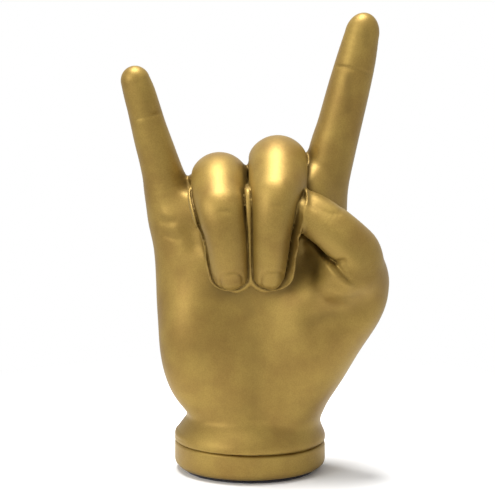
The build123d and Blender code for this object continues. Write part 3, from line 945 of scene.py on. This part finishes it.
def wrist_sweep_tree():
    """Node tree that sweeps the collar's band and its bead round the oval of the wrist."""
    tree = bpy.data.node_groups.new("collar sweep", "GeometryNodeTree")
    sockets = [
        ("Half Width", 0.0336), ("Half Depth", 0.0284), ("Base", 0.0015), ("Band Height", 0.0114),
        ("Bead Height", 0.0056), ("Wall", 0.0080), ("Foot Radius", 0.0034), ("Edge Radius", 0.0015),
        ("Bead Reach", 0.0030), ("Wobble", 0.0003), ("Wobble Size", 0.018), ("Tilt", 0.02),
        ("Overlap", 0.0005), ("Steps", 360), ("Seed", 4),
    ]
    for name, value in sockets:
        kind = "NodeSocketInt" if isinstance(value, int) else "NodeSocketFloat"
        tree.interface.new_socket(name=name, in_out="INPUT", socket_type=kind).default_value = value
    tree.interface.new_socket(name="Finish", in_out="INPUT", socket_type="NodeSocketMaterial")
    tree.interface.new_socket(name="Geometry", in_out="OUTPUT", socket_type="NodeSocketGeometry")
    given = node(tree, "NodeGroupInput").outputs

    def result(kind, inputs, **settings):
        """The first output of a new node."""
        return node(tree, kind, inputs, **settings).outputs[0]

    def swept(profile, reach_in):
        """A profile swept round the wrist's oval, set in from the collar's outside."""
        circle = result("GeometryNodeCurvePrimitiveCircle", {"Resolution": given["Steps"], "Radius": 1.0})
        oval = result("ShaderNodeCombineXYZ", {
            "X": result("ShaderNodeMath", {0: given["Half Width"], 1: reach_in}, operation="SUBTRACT"),
            "Y": result("ShaderNodeMath", {0: given["Half Depth"], 1: reach_in}, operation="SUBTRACT"),
            "Z": 1.0,
        })
        pressed = result("GeometryNodeTransform", {"Geometry": circle, "Scale": oval})
        path = result("GeometryNodeSetCurveNormal", {"Curve": pressed}, mode="Z_UP")
        return result("GeometryNodeCurveToMesh", {"Curve": path, "Profile Curve": profile})

    # The band: a block with a well rounded foot and a small radius along its top
    index = node(tree, "GeometryNodeInputIndex").outputs[0]
    at_foot = result("FunctionNodeCompare", {"A": index, "B": 2}, data_type="INT", operation="LESS_THAN")
    radius = result("GeometryNodeSwitch", {
        "Switch": at_foot, "False": given["Edge Radius"], "True": given["Foot Radius"],
    }, input_type="FLOAT")
    block = result("GeometryNodeCurvePrimitiveQuadrilateral", {
        "Width": given["Wall"], "Height": given["Band Height"],
    })
    rounded = result("GeometryNodeFilletCurve", {
        "Curve": block, "Radius": radius, "Count": 8, "Limit Radius": True,
    }, mode="POLY")
    half_band = result("ShaderNodeMath", {0: given["Band Height"], 1: 0.5}, operation="MULTIPLY")
    band_middle = result("ShaderNodeMath", {0: given["Base"], 1: half_band}, operation="ADD")
    band_place = result("ShaderNodeCombineXYZ", {
        "X": result("ShaderNodeMath", {0: given["Wall"], 1: -0.5}, operation="MULTIPLY"),
        "Y": result("ShaderNodeMath", {0: band_middle, 1: -1.0}, operation="MULTIPLY"),
    })
    band = swept(result("GeometryNodeTransform", {"Geometry": rounded, "Translation": band_place}), 0.0)

    # The bead: an oval roll that lies on the band
    roll = result("GeometryNodeCurvePrimitiveCircle", {"Resolution": 40, "Radius": 1.0})
    half_bead = result("ShaderNodeMath", {0: given["Bead Height"], 1: 0.5}, operation="MULTIPLY")
    roll_size = result("ShaderNodeCombineXYZ", {"X": given["Bead Reach"], "Y": half_bead, "Z": 1.0})
    band_top = result("ShaderNodeMath", {0: given["Base"], 1: given["Band Height"]}, operation="ADD")
    bead_low = result("ShaderNodeMath", {0: band_top, 1: given["Overlap"]}, operation="SUBTRACT")
    bead_middle = result("ShaderNodeMath", {0: bead_low, 1: half_bead}, operation="ADD")
    roll_place = result("ShaderNodeCombineXYZ", {
        "Y": result("ShaderNodeMath", {0: bead_middle, 1: -1.0}, operation="MULTIPLY"),
    })
    bead = swept(result("GeometryNodeTransform", {
        "Geometry": roll, "Scale": roll_size, "Translation": roll_place,
    }), given["Bead Reach"])
    joined = node(tree, "GeometryNodeJoinGeometry", {0: band})
    tree.links.new(bead, joined.inputs[0])

    # The unevenness of a hand-finished casting
    place = node(tree, "GeometryNodeInputPosition").outputs[0]
    fineness = result("ShaderNodeMath", {0: 1.0, 1: given["Wobble Size"]}, operation="DIVIDE")
    unevenness = node(tree, "ShaderNodeTexNoise", {
        "Vector": place, "Scale": fineness, "W": given["Seed"], "Detail": 1.0,
    }, noise_dimensions="4D").outputs["Color"]
    centred = result("ShaderNodeVectorMath", {0: unevenness, 1: (0.5, 0.5, 0.5)}, operation="SUBTRACT")
    reach = result("ShaderNodeMath", {0: given["Wobble"], 1: 2.0}, operation="MULTIPLY")
    shift = result("ShaderNodeVectorMath", {0: centred, "Scale": reach}, operation="SCALE")
    # The upper part of the collar leans a little, more the higher it is above the foot
    parts = node(tree, "ShaderNodeSeparateXYZ", {0: place}).outputs
    height = result("ShaderNodeMath", {0: parts["Z"], 1: given["Base"]}, operation="SUBTRACT")
    share = result("ShaderNodeMath", {0: height, 1: given["Band Height"]}, operation="DIVIDE")
    slope = result("ShaderNodeMath", {0: parts["X"], 1: given["Tilt"]}, operation="MULTIPLY")
    lean = result("ShaderNodeMath", {0: slope, 1: result("ShaderNodeClamp", {"Value": share})},
                  operation="MULTIPLY")
    leaned = result("ShaderNodeCombineXYZ", {
        "Z": result("ShaderNodeMath", {0: lean, 1: -1.0}, operation="MULTIPLY"),
    })
    moved = result("ShaderNodeVectorMath", {0: shift, 1: leaned}, operation="ADD")
    uneven = result("GeometryNodeSetPosition", {"Geometry": joined.outputs[0], "Offset": moved})
    smooth = result("GeometryNodeSetShadeSmooth", {"Geometry": uneven})
    real = result("GeometryNodeRealizeInstances", {"Geometry": smooth})
    finished = result("GeometryNodeSetMaterial", {"Geometry": real, "Material": given["Finish"]})
    node(tree, "NodeGroupOutput", {"Geometry": finished})
    return tree


def grown(name, tree, inputs):
    """A plain mesh piece that a node tree makes from named inputs."""
    piece = placed(name, bpy.data.meshes.new(name + " seed"))
    modifier = piece.modifiers.new("shape", "NODES")
    modifier.node_group = tree
    for socket in tree.interface.items_tree:
        if socket.in_out == "INPUT" and socket.name in inputs:
            modifier[socket.identifier] = inputs[socket.name]
    evaluated = piece.evaluated_get(bpy.context.evaluated_depsgraph_get())
    mesh = bpy.data.meshes.new_from_object(evaluated)
    mesh.name = name
    piece.modifiers.remove(modifier)
    piece.data = mesh
    return piece


def dress(piece, node_name, material):
    """Give a piece its finish, and let it stand for a CAD node."""
    piece.data.materials.clear()
    piece.data.materials.append(material)
    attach(piece, "root")
    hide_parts(node_name)


class HandPaint(bpy.types.PropertyGroup):
    """Colours and finish of the gold paint."""

    gold_hex: StringProperty(
        name="Gold", description="Colour of the full paint, as a hex value", default="#937A39")
    shade_hex: StringProperty(
        name="Thin gold", description="Colour of the thinner paint, as a hex value", default="#856A2F")
    # The colour of the worn patches, and of the patina and painted shade in the creases and hollows
    patina_and_shade_hex: StringProperty(
        name="Patina", description="Colour of the creases, as a hex value", default="#66501F")
    metallic: FloatProperty(
        name="Metallic", description="How metallic the paint is", default=0.62, min=0.0, max=1.0,
        subtype="FACTOR")


class HandSkin(bpy.types.PropertyGroup):
    """Fineness of the skin's mesh."""

    step: FloatProperty(
        name="Step", description="Spacing of the grid that the skin is meshed on", default=0.5 * MM,
        unit="LENGTH")
    settling: IntProperty(
        name="Settling", description="Rounds of moving the mesh onto the skin", default=2, min=1)


class HandCollar(bpy.types.PropertyGroup):
    """Sizes of the collar under the wrist."""

    band_height: FloatProperty(
        name="Band height", description="Height of the plain band", default=11.8 * MM, unit="LENGTH")
    foot_radius: FloatProperty(
        name="Foot radius", description="Rounding along the foot of the band", default=3.6 * MM,
        unit="LENGTH")
    bead_height: FloatProperty(
        name="Bead height", description="Height of the bead's roll, below the flare of the wrist",
        default=5.8 * MM, unit="LENGTH")
    bead_reach: FloatProperty(
        name="Bead reach", description="Half the width of the bead's roll", default=3.2 * MM,
        unit="LENGTH")
    wobble: FloatProperty(
        name="Wobble", description="Unevenness of the hand-finished collar", default=0.25 * MM,
        unit="LENGTH")
    tilt: FloatProperty(
        name="Tilt", description="Lean of the bead, as a rise for each length across", default=0.02)


class HandStage(bpy.types.PropertyGroup):
    """Camera and light of the stage."""

    lens: FloatProperty(
        name="Lens", description="Focal length of the camera in millimetres", default=132.15)
    camera_place: FloatVectorProperty(
        name="Camera", description="Where the camera stands", default=(-0.0011, -0.78785, 0.2392),
        subtype="TRANSLATION", unit="LENGTH")
    aim: FloatVectorProperty(
        name="Aim", description="The point that the camera looks at", default=(-0.0011, 0.0, 0.10028),
        subtype="TRANSLATION", unit="LENGTH")


class OBJECT_OT_hand_castings(bpy.types.Operator):
    """Build the palm and the digits as one skin, cut where they are luted together"""

    bl_idname = "object.hand_castings"
    bl_label = "Hand castings"

    def execute(self, context):
        settings = context.scene.hand_skin
        hand = Hand()
        step = settings.step / MM
        corners = np.array([corner for name in CASTING_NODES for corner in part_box(name)]) / MM
        low, high = corners.min(0) - MARGIN, corners.max(0) + MARGIN
        points, faces = surface(hand.skin, low, high, step)
        owners = np.full(len(faces), PALM_OWNER)
        for number, name in enumerate(DIGIT_NODES, start=1):
            points, faces, owners = cut_along(points, faces, owners, hand.claim(name, points), number)
        # The palm parts into its two halves along the mould line, down the sides of the wrist
        points, faces, owners = cut_along(points, faces, owners, -points[:, 1], BACK_OWNER)
        points, normals = settle(hand, points, faces, settings.settling)
        # Patina and painted shade: the more closely the skin closes round a point, the darker it gets
        recess = np.max([
            (1.0 - hand.skin(points + normals * probe) / probe - flat) * strength
            for probe, flat, strength in PATINA_AND_SHADE_PROBES
        ], axis=0)
        # Worn streaks on the fingers, and painted shade in the palm's hollows, darken the skin further
        recess = np.clip(recess + hand.drawn(points, WORN_AND_SHADE_STROKES, -1, WORN_AND_SHADE_TOP), 0.0, 1.0)
        material = gold_paint(context.scene.hand_paint)
        for number, (skin_name, node_name) in enumerate(SKINS):
            own = faces[owners == number]
            if not len(own):
                raise RuntimeError(f"the skin has no faces for {skin_name}")
            piece = closed_shell(skin_name, points, normals, recess, own)
            dress(piece, node_name, material)
        return {"FINISHED"}


class OBJECT_OT_hand_collar(bpy.types.Operator):
    """Build the collar under the wrist, with its band and bead"""

    bl_idname = "object.hand_collar"
    bl_label = "Wrist collar"

    def execute(self, context):
        settings = context.scene.hand_collar
        material = bpy.data.materials.get(GOLD) or gold_paint(context.scene.hand_paint)
        piece = grown("wrist_collar_skin", wrist_sweep_tree(), {
            "Half Width": float(COLLAR_HALF_WIDTH) * MM,
            "Half Depth": float(COLLAR_HALF_DEPTH) * MM,
            "Base": float(FELT_THICKNESS) * MM,
            "Band Height": settings.band_height,
            "Bead Height": settings.bead_height,
            "Foot Radius": settings.foot_radius,
            "Bead Reach": settings.bead_reach,
            "Wobble": settings.wobble,
            "Tilt": settings.tilt,
            "Finish": material,
        })
        dress(piece, "wrist_collar", material)
        return {"FINISHED"}


class OBJECT_OT_hand_base(bpy.types.Operator):
    """Finish the floor slab and lay the felt under the base"""

    bl_idname = "object.hand_base"
    bl_label = "Floor slab and felt"

    def execute(self, context):
        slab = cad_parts["floor_slab"]
        slab.data.materials.clear()
        slab.data.materials.append(bare_clay())
        turns = np.arange(FELT_STEPS) * (2 * pi / FELT_STEPS)
        rings = []
        for share, level in FELT_RINGS:
            fray = 1.0 + FRAY_SHARE * np.sin(turns * FRAY_COUNT) * (share > FRAY_START)
            rings.append(np.column_stack([
                np.cos(turns) * FELT_HALF_WIDTH * share * fray,
                np.sin(turns) * FELT_HALF_DEPTH * share * fray,
                np.full(FELT_STEPS, level * FELT_THICKNESS),
            ]))
        places = np.vstack(rings + [[[0.0, 0.0, 0.0]], [[0.0, 0.0, FELT_THICKNESS]]])
        bottom, top = len(places) - 2, len(places) - 1
        faces = []
        for ring in range(len(FELT_RINGS) - 1):
            for i in range(FELT_STEPS):
                a, b = ring * FELT_STEPS + i, ring * FELT_STEPS + (i + 1) % FELT_STEPS
                faces.append((a, b, b + FELT_STEPS, a + FELT_STEPS))
        last = (len(FELT_RINGS) - 1) * FELT_STEPS
        for i in range(FELT_STEPS):
            faces.append((bottom, (i + 1) % FELT_STEPS, i))
            faces.append((top, last + i, last + (i + 1) % FELT_STEPS))
        mesh = bpy.data.meshes.new("base_felt_pad")
        mesh.from_pydata((places * MM).tolist(), [], faces)
        mesh.polygons.foreach_set("use_smooth", [True] * len(faces))
        pad = placed("base_felt_pad", mesh)
        dress(pad, "base_felt", pressed_felt())
        return {"FINISHED"}


def looked_at(tree):
    """The light path of a shader, and 1 where the camera sees it, straight or in a gloss."""
    path = node(tree, "ShaderNodeLightPath").outputs
    seen = node(tree, "ShaderNodeMath", {
        0: path["Is Camera Ray"], 1: path["Is Glossy Ray"],
    }, operation="MAXIMUM")
    return path, seen.outputs[0]


class OBJECT_OT_hand_stage(bpy.types.Operator):
    """Set up the pale floor, the soft light and the camera"""

    bl_idname = "object.hand_stage"
    bl_label = "Stage"

    def execute(self, context):
        settings = context.scene.hand_stage
        scene = context.scene
        scene.view_settings.view_transform = "Standard"
        white = linear("#FFFFFF")
        mesh = bpy.data.meshes.new("floor")
        corners = [(-1, -1, 0), (1, -1, 0), (1, 1, 0), (-1, 1, 0)]
        mesh.from_pydata((np.array(corners) * FLOOR_REACH).tolist(), [], [(0, 1, 2, 3)])
        material, tree = new_material("white studio paper")
        mesh.materials.append(material)
        placed("floor", mesh)
        # Matt paper that takes the shadow, and plain white where it is seen away from the object
        paper = node(tree, "ShaderNodeBsdfDiffuse", {"Color": white})
        glow = node(tree, "ShaderNodeEmission", {"Color": white, "Strength": 1.0})
        place = node(tree, "ShaderNodeTexCoord").outputs["Object"]
        away = node(tree, "ShaderNodeVectorMath", {0: place}, operation="LENGTH").outputs["Value"]
        fade = node(tree, "ShaderNodeMapRange", {
            "Value": away, "From Min": FADE_START, "From Max": FADE_END,
        }, interpolation_type="SMOOTHSTEP")
        _, seen = looked_at(tree)
        share = node(tree, "ShaderNodeMath", {0: fade.outputs[0], 1: seen}, operation="MULTIPLY")
        mixed = node(tree, "ShaderNodeMixShader", {
            0: share.outputs[0], 1: paper.outputs[0], 2: glow.outputs[0],
        })
        node(tree, "ShaderNodeOutputMaterial", {"Surface": mixed.outputs[0]})

        world = bpy.data.worlds.new("white studio")
        scene.world = world
        world.use_nodes = True
        tree = world.node_tree
        tree.nodes.clear()
        path, seen = looked_at(tree)
        through = node(tree, "ShaderNodeMath", {
            0: seen, 1: path["Is Transmission Ray"],
        }, operation="MAXIMUM")
        soft = node(tree, "ShaderNodeBackground", {"Color": white, "Strength": SOFT_LIGHT})
        plain = node(tree, "ShaderNodeBackground", {"Color": white, "Strength": 1.0})
        mixed = node(tree, "ShaderNodeMixShader", {
            0: through.outputs[0], 1: soft.outputs[0], 2: plain.outputs[0],
        })
        node(tree, "ShaderNodeOutputWorld", {"Surface": mixed.outputs[0]})

        for name, place, aim, size, power in LAMPS:
            lamp = bpy.data.lights.new(name, "AREA")
            lamp.shape = "DISK"
            lamp.size = size
            lamp.energy = power
            aimed(placed(name, lamp), place, aim)
        camera = bpy.data.cameras.new("camera")
        camera.lens = settings.lens
        camera.sensor_width = SENSOR_MM
        scene.camera = placed("camera", camera)
        aimed(scene.camera, settings.camera_place, settings.aim)
        return {"FINISHED"}


class VIEW3D_PT_hand(bpy.types.Panel):
    """Lists the steps of the hand in the order in which they run."""

    bl_label = "Ceramic hand"
    bl_space_type = "VIEW_3D"
    bl_region_type = "UI"
    bl_category = "Hand"

    def draw(self, context):
        for operator in OPERATORS:
            self.layout.operator(operator.bl_idname)
        for name in GROUPS:
            box = self.layout.box()
            group = getattr(context.scene, name)
            for field in group.bl_rna.properties:
                if field.identifier not in ("rna_type", "name"):
                    box.prop(group, field.identifier)


OPERATORS = [OBJECT_OT_hand_castings, OBJECT_OT_hand_collar, OBJECT_OT_hand_base, OBJECT_OT_hand_stage]
GROUPS = {
    "hand_paint": HandPaint, "hand_skin": HandSkin, "hand_collar": HandCollar, "hand_stage": HandStage,
}


def register():
    """Register the groups, operators and panel, and put the groups on the scene."""
    for made in list(GROUPS.values()) + OPERATORS + [VIEW3D_PT_hand]:
        bpy.utils.register_class(made)
    for name, group in GROUPS.items():
        setattr(bpy.types.Scene, name, PointerProperty(type=group))


def unregister():
    """Take the groups off the scene and unregister everything."""
    for name in GROUPS:
        delattr(bpy.types.Scene, name)
    for made in reversed(list(GROUPS.values()) + OPERATORS + [VIEW3D_PT_hand]):
        bpy.utils.unregister_class(made)


def main():
    """Build every piece and the stage."""
    register()
    bpy.ops.object.hand_castings()
    bpy.ops.object.hand_collar()
    bpy.ops.object.hand_base()
    bpy.ops.object.hand_stage()


if __name__ == "__main__":
    main()
